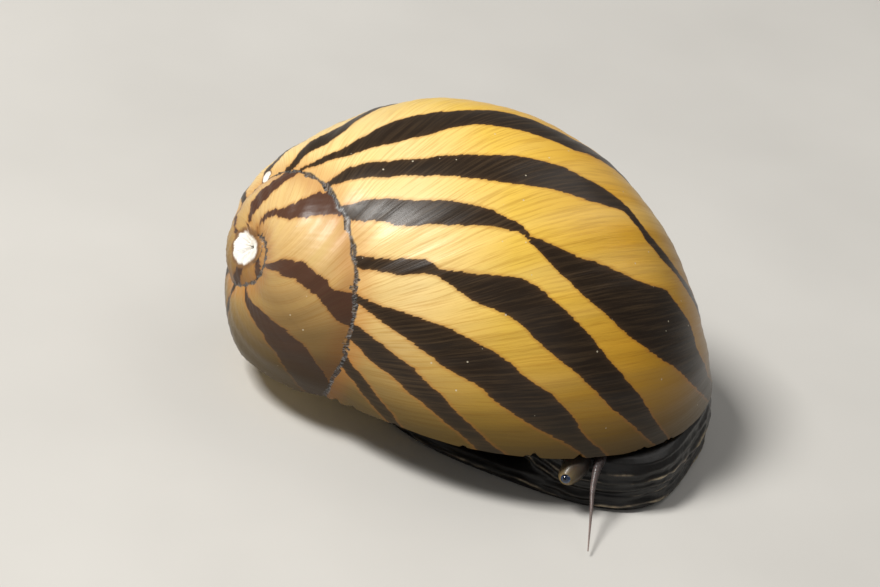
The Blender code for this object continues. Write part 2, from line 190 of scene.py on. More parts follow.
def section_shape(turn):
    """Distance of the section from the axis, its two half sizes and its lean at a turn."""
    share = np.clip(turn / (2 * pi), OLDEST_SHARE, NEWEST_SHARE)
    out = OUTSET * (1 + OUTSET_DRIFT * share)
    long = SECTION_LENGTH * (1 + LENGTH_DRIFT * share)
    wide = SECTION_WIDTH * (1 + WIDTH_DRIFT * share)
    lean = np.radians(LEAN + LEAN_DRIFT * share)
    return out, long, wide, lean


def outline_radius(angle):
    """Radius of the squarish section outline, where 1 reaches its half sizes."""
    blunt = np.abs(np.cos(angle)) ** SQUARENESS + np.abs(np.sin(angle)) ** SQUARENESS
    skew = FULLER_END * np.cos(angle) + FULLER_SIDE * np.sin(angle)
    skew = skew + FULLER_CORNERS * np.sin(3 * angle)
    return blunt ** (-1 / SQUARENESS) * (1 + skew)


def smoothstep(value):
    """Soft step from 0 to 1."""
    value = np.clip(value, 0, 1)
    return value * value * (3 - 2 * value)


def settled(turn, angle):
    """How far the wall stands out at the shoulder, or lies sunk under the next whorl's edge."""
    angle = angle % (2 * pi)
    rise, near, far = SUNK_ANGLES
    far = far + 0.6 * np.clip((SPIRE_START - turn) / 1.6, 0, 1)
    depth = np.interp(turn, SUNK_TURNS, SUNK_DEPTHS)
    sunk = depth * smoothstep(angle / rise) * (1 - smoothstep((angle - near) / (far - near)))
    full = smoothstep((turn - SHOULDER_START) / (SHOULDER_FULL - SHOULDER_START))
    return SHOULDER * full * np.exp(-((angle - SHOULDER_ANGLE) / SHOULDER_SPREAD) ** 2) - sunk


def tube_reading(places, turn):
    """Angle round the section and height over the tube wall, in millimetres, of places."""
    local = (places - APEX) @ TURN
    r = np.hypot(local[..., 0], local[..., 1])
    out, long, wide, lean = section_shape(turn)
    size = np.exp(GROWTH_RATE * turn)
    r = r - (CORE * size) ** 2 / (4 * r)
    x = r / size - out
    z = local[..., 2] / size - DROP
    along = (x * np.cos(lean) + z * np.sin(lean)) / long
    aside = (-x * np.sin(lean) + z * np.cos(lean)) / wide
    angle = np.arctan2(aside, along)
    over = (np.hypot(along, aside) / outline_radius(angle) - 1) * size
    reach = outline_radius(angle) * np.hypot(long * np.cos(angle), wide * np.sin(angle))
    over = over * reach - settled(turn, angle)
    return np.where(angle < -2.0, angle + 2 * pi, angle), over


def growth(turn, angle):
    """Millimetres of growth from the lip: the same along one growth line."""
    return 12.0 * (turn - np.interp(angle, LINE_ANGLES, LINE_TURNS))


def ripple(turn, angle):
    """Height in millimetres of the fine growth ridges and of broad uneven growth."""
    g = growth(turn, angle)
    # ridges 0.42, 1.15 and 4.7 mm apart, each wandering a little
    drift = 0.5 * np.sin(1.7 * angle + 0.31 * g) + 0.35 * np.sin(4.3 * angle - 0.17 * g)
    fine = np.sin(2 * pi * g / 0.42 + 2.1 * drift) * 0.005 * (1 + 0.6 * np.sin(0.9 * g + drift))
    middle = np.sin(2 * pi * g / 1.15 + 3.0 * drift) * 0.012
    broad = np.sin(2 * pi * g / 4.7 + 2.0 * drift) * 0.03
    return (fine + middle + broad) * np.clip((turn + 17) / 5, 0, 1)


def closed(mesh):
    """Fills the open ends of a mesh and turns every face outwards."""
    shell = bmesh.new()
    shell.from_mesh(mesh)
    bmesh.ops.holes_fill(shell, edges=shell.edges, sides=0)
    bmesh.ops.recalc_face_normals(shell, faces=shell.faces)
    if shell.calc_volume(signed=True) < 0:
        bmesh.ops.reverse_faces(shell, faces=shell.faces)
    shell.to_mesh(mesh)
    shell.free()


def placed(name, data):
    """New object of a mesh, curve, light or camera in the scene."""
    made = bpy.data.objects.new(name, data)
    bpy.context.scene.collection.objects.link(made)
    return made


def mesh_object(name, points, faces):
    """Closed mesh object from points in millimetres."""
    mesh = bpy.data.meshes.new(name)
    mesh.from_pydata([tuple(p) for p in np.asarray(points) * MM], [], faces)
    closed(mesh)
    return placed(name, mesh)


def ring_faces(rows, count):
    """Faces between rows of points, each row a closed ring."""
    j = np.arange(count)
    k = (j + 1) % count
    steps = [np.stack([i + j, i + k, i + count + k, i + count + j], 1)
             for i in range(0, (rows - 1) * count, count)]
    return np.concatenate(steps).tolist()


def loft(name, rings):
    """Closed body through rings of equal point counts, its two ends filled with fans."""
    rings = np.asarray(rings, float)
    rows, count = rings.shape[:2]
    faces = ring_faces(rows, count)
    j = np.arange(count)
    points = np.vstack([rings.reshape(-1, 3), rings[0].mean(0), rings[-1].mean(0)])
    for tip, first in ((rows * count, 0), (rows * count + 1, (rows - 1) * count)):
        faces.extend(np.stack([np.full(count, tip), first + j, first + (j + 1) % count], 1).tolist())
    return mesh_object(name, points, faces)


def combine(part, tool, operation):
    """Joins or cuts a closed mesh with another, which is then removed."""
    step = part.modifiers.new(operation, "BOOLEAN")
    step.operation = operation
    step.solver = "MANIFOLD"
    step.object = tool
    bpy.context.view_layer.update()
    graph = bpy.context.evaluated_depsgraph_get()
    made = bpy.data.meshes.new_from_object(part.evaluated_get(graph))
    if len(made.polygons) == 0:
        raise RuntimeError(operation + " with " + tool.name + " left nothing of " + part.name)
    part.modifiers.clear()
    part.data = made
    bpy.data.objects.remove(tool, do_unlink=True)


def largest(part):
    """Keeps the largest closed surface of a mesh and drops loose scraps."""
    shell = bmesh.new()
    shell.from_mesh(part.data)
    bmesh.ops.dissolve_degenerate(shell, edges=shell.edges, dist=0.0000005)
    left = set(shell.faces)
    pieces = []
    while left:
        queue = [left.pop()]
        piece = list(queue)
        while queue:
            for edge in queue.pop().edges:
                for other in edge.link_faces:
                    if other in left:
                        left.remove(other)
                        piece.append(other)
                        queue.append(other)
        pieces.append(piece)
    pieces.sort(key=len)
    spare = [face for piece in pieces[:-1] for face in piece]
    bmesh.ops.delete(shell, geom=spare, context="FACES")
    bare = [edge for edge in shell.edges if not edge.link_faces]
    bmesh.ops.delete(shell, geom=bare, context="EDGES")
    bmesh.ops.holes_fill(shell, edges=shell.edges, sides=0)
    shell.to_mesh(part.data)
    shell.free()


def adopt(name, part, nodes, slot, *finishes):
    """Names a finished mesh, gives it its materials and puts it in place of solids."""
    part.name = name
    part.data.name = name
    part.data.materials.clear()
    for finish in finishes:
        part.data.materials.append(finish)
    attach(part, "root")
    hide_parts(*nodes)


# nodes and materials

MATH = "ShaderNodeMath"
RANGE = "ShaderNodeMapRange"
NOISE = "ShaderNodeTexNoise"
RAMP = "ShaderNodeValToRGB"
MIX = "ShaderNodeMix"
SPLIT = "ShaderNodeSeparateXYZ"
JOIN = "ShaderNodeCombineXYZ"
BUMP = "ShaderNodeBump"
PLACE = "ShaderNodeTexCoord"
READING = "ShaderNodeAttribute"
SURFACE = "ShaderNodeBsdfPrincipled"
COLOURS = {"data_type": "RGBA"}
SMOOTH = {"interpolation_type": "SMOOTHSTEP"}
FLAT = {"noise_dimensions": "2D"}


def shade(colour):
    """Socket colour from an sRGB hex value, a grey between 0 and 1, or a picked linear colour."""
    if isinstance(colour, str):
        return linear(colour)
    if isinstance(colour, float):
        return (colour, colour, colour, 1.0)
    return (*colour, 1.0)


def node(tree, kind, settings=None, *given, **named):
    """Adds a node, sets its properties, then its open inputs in order and others by name.

    A bare word for settings is the node's operation, and stops are those of a colour ramp. A
    node given as a value stands for its first open output.
    """
    made = tree.nodes.new(kind)
    if isinstance(settings, str):
        settings = {"operation": settings}
    for key, value in (settings or {}).items():
        if key != "stops":
            setattr(made, key, value)
            continue
        elements = made.color_ramp.elements
        while len(elements) < len(value):
            elements.new(0.5)
        for element, (position, colour) in zip(elements, value):
            element.position = position
            element.color = shade(colour)
    wanted = list(zip([socket for socket in made.inputs if socket.enabled], given))
    wanted += [(made.inputs[key.replace("_", " ")], value) for key, value in named.items()]
    for socket, value in wanted:
        if isinstance(value, bpy.types.Node):
            value = next(out for out in value.outputs if out.enabled)
        if isinstance(value, bpy.types.NodeSocket):
            tree.links.new(value, socket)
        elif isinstance(value, str) and socket.type == "RGBA":
            socket.default_value = linear(value)
        else:
            socket.default_value = value
    return made


def material(name):
    """New empty material, and the node function for its tree."""
    made = bpy.data.materials.new(name)
    made.use_nodes = True
    made.node_tree.nodes.clear()
    return made, partial(node, made.node_tree)


def group(name, rows):
    """New geometry node group with named inputs, its node function and what it is given."""
    tree = bpy.data.node_groups.new(name, "GeometryNodeTree")
    for label, kind, value in rows:
        socket = tree.interface.new_socket(label, in_out="INPUT", socket_type="NodeSocket" + kind)
        if value is not None:
            socket.default_value = value
    tree.interface.new_socket("Geometry", in_out="OUTPUT", socket_type="NodeSocketGeometry")
    return tree, partial(node, tree), node(tree, "NodeGroupInput").outputs


def finish_group(add, geometry, skin):
    """Ends a node group: plain geometry in one material."""
    real = add("GeometryNodeRealizeInstances", Geometry=geometry)
    covered = add("GeometryNodeSetMaterial", Geometry=real, Material=skin)
    add("NodeGroupOutput", Geometry=covered)


def run_group(name, data, tree, settings):
    """Closed mesh object made by a node group from a mesh or curve, which is then removed."""
    given = bpy.data.objects.new(name, data)
    bpy.context.scene.collection.objects.link(given)
    step = given.modifiers.new(name, "NODES")
    step.node_group = tree
    named = {item.name: item.identifier for item in tree.interface.items_tree}
    for key, value in settings.items():
        step[named[key]] = value
    graph = bpy.context.evaluated_depsgraph_get()
    mesh = bpy.data.meshes.new_from_object(given.evaluated_get(graph))
    bpy.data.objects.remove(given, do_unlink=True)
    closed(mesh)
    return placed(name, mesh)


def grown_shell(ground, bands):
    """Aragonite shell under a thin horny skin, laid down line by line.

    The eye gets an amber glaze full of fine growth streaks, dark bands with toothed and
    brown-stained edges and paler streaks of painted sheen, a crumbly dotted suture, bare white
    lime where the skin has worn off, and painted shade that darkens its low side.
    """
    made, add = material("grown_shell_glaze")
    reading = add(READING, {"attribute_name": "reading"}).outputs["Vector"]
    along, across, band = add(SPLIT, Vector=reading).outputs
    state = add(READING, {"attribute_name": "state"}).outputs["Vector"]
    seam, worn, old = add(SPLIT, Vector=state).outputs
    place = add(PLACE).outputs["Object"]
    upright = add(SPLIT, Vector=place).outputs["Z"]
    # teeth of the band edges: about 0.25 mm apart along growth, drawn out across it
    jag = add(JOIN, X=along, Y=add(MATH, "MULTIPLY", across, 0.16))
    teeth = add(NOISE, FLAT, Vector=jag, Scale=3.6, Detail=3.0, Roughness=0.62)
    wave = add(NOISE, FLAT, Vector=jag, Scale=0.55, Detail=1.0)
    sway = add(MATH, "MULTIPLY", add(MATH, "SUBTRACT", wave, 0.5), 0.34)
    shift = add(MATH, "MULTIPLY_ADD", add(MATH, "SUBTRACT", teeth, 0.5), 0.26, sway)
    edge = add(MATH, "ADD", band, shift)
    dark = add(RANGE, SMOOTH, edge, -0.03, 0.035)
    # growth streaks in the ground colour, 0.1 to 0.3 mm wide and several millimetres long
    thread = add(JOIN, X=along, Y=add(MATH, "MULTIPLY", across, 0.05))
    streak = add(NOISE, FLAT, Vector=thread, Scale=5.5, Detail=4.0, Roughness=0.65)
    # the ground is pale beside the older whorl and deepens to amber toward the outer side, its
    # darkest olive end painted shade of the shell's low side
    depth = add(RANGE, None, across, 24.0, 6.0)
    tone = add(RAMP, {"stops": ((0.0, "E8CC8C"), (0.25, ground), (0.6, "D9A431"),
                                (1.0, "8A6516"))}, depth)
    tone = add(MIX, COLOURS, old, tone, "D3B27A")
    threads = add(RAMP, {"stops": ((0.47, 0.0), (0.66, 0.4))}, streak)
    tone = add(MIX, COLOURS, threads, tone, "A8741F")
    cloud = add(NOISE, FLAT, Vector=jag, Scale=0.35, Detail=2.0)
    clouds = add(RAMP, {"stops": ((0.48, 0.0), (0.75, 0.28))}, cloud)
    tone = add(MIX, COLOURS, clouds, tone, "EBCF86")
    # painted shade: low parts near the growing edge and the floor darken to amber and then olive
    # brown
    painted_low_shade = add(RANGE, SMOOTH, upright, 10.8 * MM, 2.5 * MM)
    painted_low_shade_tone = add(RAMP, {"stops": ((0.0, "C08A26"), (0.5, "946A1B"), (1.0, "4C370F"))}, painted_low_shade)
    strength = add(MATH, "MULTIPLY", add(MATH, "POWER", painted_low_shade, 0.6), 0.92)
    tone = add(MIX, COLOURS, strength, tone, painted_low_shade_tone)
    # orange stain held in the hollow beside the suture
    hollow = add(RANGE, SMOOTH, seam, 0.8, 0.1)
    tone = add(MIX, COLOURS, add(MATH, "MULTIPLY", hollow, 0.4), tone, "B0682C")
    # brown-stained rim just outside each band
    halo = add(RANGE, SMOOTH, edge, -0.22, 0.0)
    tone = add(MIX, COLOURS, add(MATH, "MULTIPLY", halo, 0.45), tone, "A8692A")
    # bands: browner at the edge, purplish on the older whorl, with paler streaks of painted sheen
    core = add(RAMP, {"stops": ((0.0, "442F1A"), (0.16, "2D2116"), (0.5, bands))}, edge)
    core = add(MIX, COLOURS, add(MATH, "MULTIPLY", old, 0.8), core, "56372A")
    painted_band_sheen = add(RAMP, {"stops": ((0.45, 0.0), (0.78, 0.42))}, streak)
    core = add(MIX, COLOURS, painted_band_sheen, core, "5C4932")
    colour = add(MIX, COLOURS, dark, tone, core)
    # painted shade: deep brown over the low side of the older whorl
    painted_old_whorl_shade = add(MATH, "MULTIPLY", add(RANGE, SMOOTH, upright, 11.2 * MM, 6.0 * MM), old)
    colour = add(MIX, COLOURS, add(MATH, "MULTIPLY", painted_old_whorl_shade, 0.55), colour, "32261A")
    # dark olive along the lip and the lowest millimetres: algae growth on the lip, and painted shade
    # near the floor
    lip_algae_and_floor_shade = add(RANGE, SMOOTH, upright, 6.2 * MM, 2.8 * MM)
    colour = add(MIX, COLOURS, add(MATH, "MULTIPLY", lip_algae_and_floor_shade, 0.5), colour, "33290F")
    # stray specks of lime and silt, under 0.1 mm across
    grit = add("ShaderNodeTexVoronoi", Vector=place, Scale=900.0)
    speck = add(MATH, "MULTIPLY", add(RANGE, None, grit, 0.05, 0.035), 0.7)
    colour = add(MIX, COLOURS, speck, colour, "CFC5AE")
    # dirt and limy film caught in the suture, in dots about 0.2 mm long
    silt = add(NOISE, FLAT, Vector=jag, Scale=4.6, Detail=2.0)
    dots = add(RAMP, {"stops": ((0.47, "231E1B"), (0.54, "828282"), (0.61, "2D2826"))}, silt)
    line = add(MATH, "MULTIPLY", add(RANGE, SMOOTH, seam, 0.085, 0.03), 0.92)
    colour = add(MIX, COLOURS, line, colour, dots)
    # worn nucleus: chalk white lime laid bare in 0.7 mm crumbs, with brown rims of old skin
    pits = add(NOISE, Vector=place, Scale=1400.0, Detail=4.0)
    crumbs = add(MATH, "MULTIPLY", add(MATH, "SUBTRACT", pits, 0.5), 0.16)
    bare = add(MATH, "ADD", worn, crumbs)
    lime = add(RAMP, {"stops": ((0.3, "C9C2B4"), (0.6, "F1EFEA"))}, pits)
    colour = add(MIX, COLOURS, add(RANGE, SMOOTH, bare, 0.38, 0.47), colour, "7A5A3A")
    bared = add(RANGE, SMOOTH, bare, 0.48, 0.55)
    colour = add(MIX, COLOURS, bared, colour, lime)
    gloss = add(MATH, "MULTIPLY_ADD", streak, 0.14, 0.27)
    rough = add(MATH, "MULTIPLY_ADD", bared, 0.42, gloss)
    ridges = add(NOISE, FLAT, Vector=thread, Scale=8.0, Detail=3.0, Roughness=0.55)
    low = add(BUMP, Strength=0.1, Distance=0.12 * MM, Height=ridges)
    crumb = add(BUMP, Strength=add(MATH, "MULTIPLY", bared, 0.5), Distance=0.2 * MM,
                Height=pits, Normal=low)
    shader = add(SURFACE, Base_Color=colour, Roughness=rough, Normal=crumb, Coat_Weight=0.04,
                 Coat_Roughness=0.12, IOR=1.42, Specular_IOR_Level=0.3)
    add("ShaderNodeOutputMaterial", Surface=shader)
    return made


def inner_enamel():
    """Smooth porcelain-like inside of the shell: cream yellow in 3 mm clouds, a soft wet gloss."""
    made, add = material("shell_inside_enamel")
    place = add(PLACE).outputs["Object"]
    cloud = add(NOISE, Vector=place, Scale=320.0, Detail=3.0)
    fine = add(NOISE, Vector=place, Scale=2400.0, Detail=2.0)
    colour = add(RAMP, {"stops": ((0.3, "C9A45C"), (0.55, "DDC48C"), (0.75, "E9DAB4"))}, cloud)
    low = add(BUMP, Strength=0.15, Distance=0.1 * MM, Height=fine)
    shader = add(SURFACE, Base_Color=colour, Roughness=0.24, IOR=1.55, Normal=low)
    add("ShaderNodeOutputMaterial", Surface=shader)
    return made


def wet_skin(dark):
    """Living slug-like skin, wet with slime: black folds, grey-brown crests of painted highlight,
    mauve feelers.
    """
    made, add = material("wet_wrinkled_skin")
    reading = add(READING, {"attribute_name": "skin"}).outputs["Vector"]
    crest, bare, far = add(SPLIT, Vector=reading).outputs
    place = add(PLACE).outputs["Object"]
    # pebbled grain 0.45 mm across, with finer steps in it
    grain = add(NOISE, Vector=place, Scale=2200.0, Detail=4.0, Roughness=0.65)
    cloud = add(NOISE, Vector=place, Scale=420.0, Detail=3.0)
    pebbles = add(MATH, "MULTIPLY", add(MATH, "SUBTRACT", grain, 0.5), 0.4)
    height = add(MATH, "ADD", crest, pebbles)
    # painted highlight: the skin turns grey-brown toward the crests of its folds
    colour = add(RAMP, {"stops": ((0.3, "0B0908"), (0.5, dark), (0.66, "544B3E"),
                                  (0.85, "988B72"))}, height)
    patches = add(RAMP, {"stops": ((0.5, 0.0), (0.75, 0.4))}, cloud)
    colour = add(MIX, COLOURS, patches, colour, "1F1A13")
    mauve = add(RAMP, {"stops": ((0.35, "1E1A1A"), (0.6, "463D3E"), (0.75, "6A5E5C"))}, grain)
    mauve = add(MIX, COLOURS, add(MATH, "MULTIPLY", far, 0.7), mauve, "8E7C74")
    colour = add(MIX, COLOURS, bare, colour, mauve)
    # painted golden light at the thin clear tips of the eye stalks, as if light shone through them
    clear = add(MATH, "MULTIPLY", add(MATH, "POWER", far, 5.0), add(MATH, "SUBTRACT", 1.0, bare))
    colour = add(MIX, COLOURS, clear, colour, "8E7848")
    low = add(BUMP, Strength=0.2, Distance=0.12 * MM, Height=grain)
    shader = add(SURFACE, Base_Color=colour, Roughness=0.42, IOR=1.36, Normal=low,
                 Coat_Weight=0.12, Coat_Roughness=0.15, Subsurface_Weight=0.08,
                 Subsurface_Scale=0.4 * MM)
    add("ShaderNodeOutputMaterial", Surface=shader)
    return made


def wet_eye():
    """Tiny pigment-cup eye under clear wet skin: blue-black with a sharp highlight."""
    made, add = material("pigment_eye")
    place = add(PLACE).outputs["Object"]
    cloud = add(NOISE, Vector=place, Scale=2600.0, Detail=2.0)
    colour = add(RAMP, {"stops": ((0.35, "070B14"), (0.55, "1C3252"), (0.75, "4A6C94"))}, cloud)
    shader = add(SURFACE, Base_Color=colour, Roughness=0.08, IOR=1.38, Coat_Weight=0.8,
                 Coat_Roughness=0.03)
    add("ShaderNodeOutputMaterial", Surface=shader)
    return made


def horny_lid():
    """Horn-skinned lime lid laid down in arcs 0.75 mm apart: dark brown, with smoky patches."""
    made, add = material("horn_lid")
    place = add(PLACE).outputs["Object"]
    rings = add("ShaderNodeTexWave", {"wave_type": "RINGS"}, Vector=place, Scale=420.0,
                Distortion=1.5, Detail=2.0).outputs["Fac"]
    cloud = add(NOISE, Vector=place, Scale=600.0, Detail=3.0)
    colour = add(RAMP, {"stops": ((0.2, "24140C"), (0.7, "4B2C18"), (1.0, "6B4525"))}, rings)
    patches = add(RAMP, {"stops": ((0.45, 0.0), (0.7, 0.5))}, cloud)
    colour = add(MIX, COLOURS, patches, colour, "2E1C12")
    low = add(BUMP, Strength=0.4, Distance=0.1 * MM, Height=rings)
    shader = add(SURFACE, Base_Color=colour, Roughness=0.3, IOR=1.5, Normal=low)
    add("ShaderNodeOutputMaterial", Surface=shader)
    return made


def pale_floor(grey):
    """Matt painted board: even pale grey with a barely seen 17 mm roller mottling."""
    made, add = material("studio_board")
    place = add(PLACE).outputs["Object"]
    mottle = add(NOISE, Vector=place, Scale=60.0, Detail=3.0)
    colour = add(RAMP, {"stops": ((0.3, "BFBDB9"), (0.7, grey))}, mottle)
    shader = add(SURFACE, Base_Color=colour, Roughness=0.8)
    add("ShaderNodeOutputMaterial", Surface=shader)
    return made


# shell

def coil_tree():
    """Node group: rolls a flat sheet up into the coiled tube of the shell.

    On the sheet x is the turn, y the angle round the section and z how far the wall stands out
    in millimetres. The section grows by the same share in every turn, as a living shell does.
    """
    tree, add, given = group("shell_coil", (
        ("Sheet", "Geometry", None), ("Growth rate", "Float", GROWTH_RATE),
        ("Outset", "Float", OUTSET), ("Section length", "Float", SECTION_LENGTH),
        ("Section width", "Float", SECTION_WIDTH), ("Lean", "Float", radians(LEAN)),
        ("Drop", "Float", DROP), ("Core", "Float", CORE), ("Lip wall", "Float", 0.0),
        ("Upper wall", "Float", 0.0), ("Glaze", "Material", None)))
    place = add("GeometryNodeInputPosition")
    turn, angle, out_by = add(SPLIT, Vector=place).outputs
    size = add(MATH, "EXPONENT", add(MATH, "MULTIPLY", turn, given["Growth rate"]))
    # the section turns squatter and leans over, by a share of each full turn
    laps = add(MATH, "MAXIMUM", add(MATH, "DIVIDE", turn, 2 * pi), OLDEST_SHARE)
    share = add(MATH, "MINIMUM", laps, NEWEST_SHARE)
    outset = add(MATH, "MULTIPLY_ADD", share, OUTSET_DRIFT, 1.0)
    outset = add(MATH, "MULTIPLY", given["Outset"], outset)
    long = add(MATH, "MULTIPLY_ADD", share, LENGTH_DRIFT, 1.0)
    long = add(MATH, "MULTIPLY", given["Section length"], long)
    wide = add(MATH, "MULTIPLY_ADD", share, WIDTH_DRIFT, 1.0)
    wide = add(MATH, "MULTIPLY", given["Section width"], wide)
    lean = add(MATH, "MULTIPLY_ADD", share, radians(LEAN_DRIFT), given["Lean"])
    # section: a squarish oval, fuller on one side
    c = add(MATH, "COSINE", angle)
    s = add(MATH, "SINE", angle)
    blunt = add(MATH, "ADD", add(MATH, "POWER", add(MATH, "ABSOLUTE", c), SQUARENESS),
                add(MATH, "POWER", add(MATH, "ABSOLUTE", s), SQUARENESS))
    skew = add(MATH, "MULTIPLY_ADD", s, FULLER_SIDE, 1.0)
    skew = add(MATH, "MULTIPLY_ADD", c, FULLER_END, skew)
    corners = add(MATH, "SINE", add(MATH, "MULTIPLY", angle, 3.0))
    skew = add(MATH, "MULTIPLY_ADD", corners, FULLER_CORNERS, skew)
    radius = add(MATH, "MULTIPLY", add(MATH, "POWER", blunt, -1 / SQUARENESS), skew)
    extra = add(MATH, "DIVIDE", out_by, size)
    along = add(MATH, "MULTIPLY", c, add(MATH, "MULTIPLY_ADD", long, radius, extra))
    aside = add(MATH, "MULTIPLY", s, add(MATH, "MULTIPLY_ADD", wide, radius, extra))
    cl = add(MATH, "COSINE", lean)
    sl = add(MATH, "SINE", lean)
    # the section swings round the axis, and keeps clear of it by a soft core
    reach = add(MATH, "MULTIPLY_ADD", along, cl, outset)
    reach = add(MATH, "SUBTRACT", reach, add(MATH, "MULTIPLY", aside, sl))
    reach = add(MATH, "MULTIPLY", reach, size)
    height = add(MATH, "MULTIPLY_ADD", aside, cl, given["Drop"])
    height = add(MATH, "MULTIPLY_ADD", along, sl, height)
    core = add(MATH, "MULTIPLY", given["Core"], size)
    clear = add(MATH, "MULTIPLY_ADD", reach, reach, add(MATH, "MULTIPLY", core, core))
    clear = add(MATH, "SQRT", clear)
    r = add(MATH, "MULTIPLY", add(MATH, "ADD", reach, clear), 0.5)
    back = add(MATH, "SINE", add(MATH, "MULTIPLY", turn, -1.0))
    spot = add(JOIN, X=add(MATH, "MULTIPLY", r, add(MATH, "COSINE", turn)),
               Y=add(MATH, "MULTIPLY", r, back), Z=add(MATH, "MULTIPLY", height, size))
    rolled = add("GeometryNodeSetPosition", Geometry=given["Sheet"], Position=spot)
    set_down = add("GeometryNodeTransform", Geometry=rolled, Translation=tuple(APEX * MM),
                   Rotation=[radians(v) for v in AXIS_TURN], Scale=(MM, MM, MM))
    # a hollow is drawn in by the wall, which is thin at the lip and full 2.5 mm above it
    up = add(SPLIT, Vector=place).outputs["Z"]
    full = add(RANGE, None, up, LIP_HEIGHT * MM, (LIP_HEIGHT + 2.5) * MM, given["Lip wall"],
               given["Upper wall"])
    normal = add("GeometryNodeInputNormal")
    inward = add("ShaderNodeVectorMath", "SCALE", normal, full)
    walled = add("GeometryNodeSetPosition", Geometry=set_down, Offset=inward)
    finish_group(add, walled, given["Glaze"])
    return tree


def whorl(name, tree, start, end, steps, angles, swell, settings):
    """Closed length of the coiled tube between two turns."""
    turn, angle = np.meshgrid(np.linspace(start, end, steps + 1), angles, indexing="ij")
    sheet = np.stack([turn, angle, swell(turn, angle) + settled(turn, angle)], -1)
    mesh = bpy.data.meshes.new(name)
    mesh.from_pydata(sheet.reshape(-1, 3).tolist(), [], ring_faces(steps + 1, len(angles)))
    return run_group(name, mesh, tree, settings)


def fine_angles(count):
    """Section angles set close where the wall shows and wide where it hides."""
    seen = np.linspace(-1.1, 3.9, int(count * 0.82), endpoint=False)
    hidden = np.linspace(3.9, 2 * pi - 1.1, count - len(seen), endpoint=False)
    return np.concatenate([seen, hidden])


def eased(turn, start, end):
    """Sinks a tube's two ends under its neighbours so that one whorl runs into the next."""
    early = np.clip((start - turn) / OVERLAP, 0, 1)
    late = np.clip((turn - end) / OVERLAP, 0, 1)
    return -0.5 * (early ** 2 + late ** 2)


def nearest_turn(places):
    """Turn of the whorl whose wall lies nearest to each place, and how far off it lies."""
    local = (places - APEX) @ TURN
    base = -np.arctan2(local[:, 1], local[:, 0])
    base = np.where(base > 0.3, base - 2 * pi, base)
    best = np.full(len(base), 1e9)
    turn = base.copy()
    for lap in range(4):
        candidate = base - 2 * pi * lap
        _, over = tube_reading(places, candidate)
        good = (np.abs(over) < best) & (candidate > NUCLEUS_START)
        turn = np.where(good, candidate, turn)
        best = np.where(good, np.abs(over), best)
    return turn, best


def band_reading(turn, angle, radius):
    """How far inside a dark band a place lies in millimetres, less than nothing outside."""
    band = np.full(len(turn), -9.0)
    for stations in BANDS:
        table = np.array(sorted(stations))
        middle = np.interp(angle, table[:, 0], table[:, 1])
        half = np.interp(angle, table[:, 0], table[:, 2])
        fade = np.maximum(table[0, 0] - angle, 0) * 0.25
        gap = (half - fade - np.abs(turn - middle)) * np.maximum(radius, 0.5)
        band = np.maximum(band, gap)
    return band


def face_readings(part):
    """Writes growth, section place, band distance, seam distance and wear on face corners.

    Returns which faces lie inside the shell, away from its outer wall.
    """
    mesh = part.data
    count = len(mesh.vertices)
    places = np.empty(count * 3)
    mesh.vertices.foreach_get("co", places)
    places = places.reshape(-1, 3) / MM
    starts = np.empty(len(mesh.polygons), int)
    totals = np.empty(len(mesh.polygons), int)
    mesh.polygons.foreach_get("loop_start", starts)
    mesh.polygons.foreach_get("loop_total", totals)
    owner = np.empty(len(mesh.loops), int)
    mesh.loops.foreach_get("vertex_index", owner)
    face_of = np.repeat(np.arange(len(starts)), totals)
    centres = np.zeros((len(starts), 3))
    np.add.at(centres, face_of, places[owner])
    centres /= totals[:, None]
    turn, off = nearest_turn(centres)
    # every corner of a face reads the same whorl, so no face is torn across a seam
    corner = places[owner]
    local = (corner - APEX) @ TURN
    near = -np.arctan2(local[:, 1], local[:, 0])
    near = near + 2 * pi * np.round((turn[face_of] - near) / (2 * pi))
    angle, _ = tube_reading(corner, near)
    band = band_reading(near, angle, np.hypot(local[:, 0], local[:, 1]))
    # seams: where the whorl before or after this one comes to the surface
    _, before = tube_reading(corner, near - 2 * pi)
    _, after = tube_reading(corner, near + 2 * pi)
    after = np.where(near + 2 * pi > 0.2, 9.0, after)
    seam = np.minimum(np.abs(before), np.abs(after))
    worn = np.zeros(len(corner))
    for spot, size in WORN_SPOTS:
        worn = np.maximum(worn, 1 - 0.5 * np.linalg.norm(corner - np.array(spot), axis=1) / size)
    old = np.clip((-5.4 - near) / 1.2, 0, 1)
    reading = np.stack([growth(near, angle), angle * 9.0, np.clip(band, -2, 3)], 1)
    state = np.stack([np.clip(seam, 0, 5), worn, old], 1)
    for name, values in (("reading", reading), ("state", state)):
        layer = mesh.attributes.new(name, "FLOAT_VECTOR", "CORNER")
        layer.data.foreach_set("vector", values.astype(np.float32).ravel())
    return off > 0.3


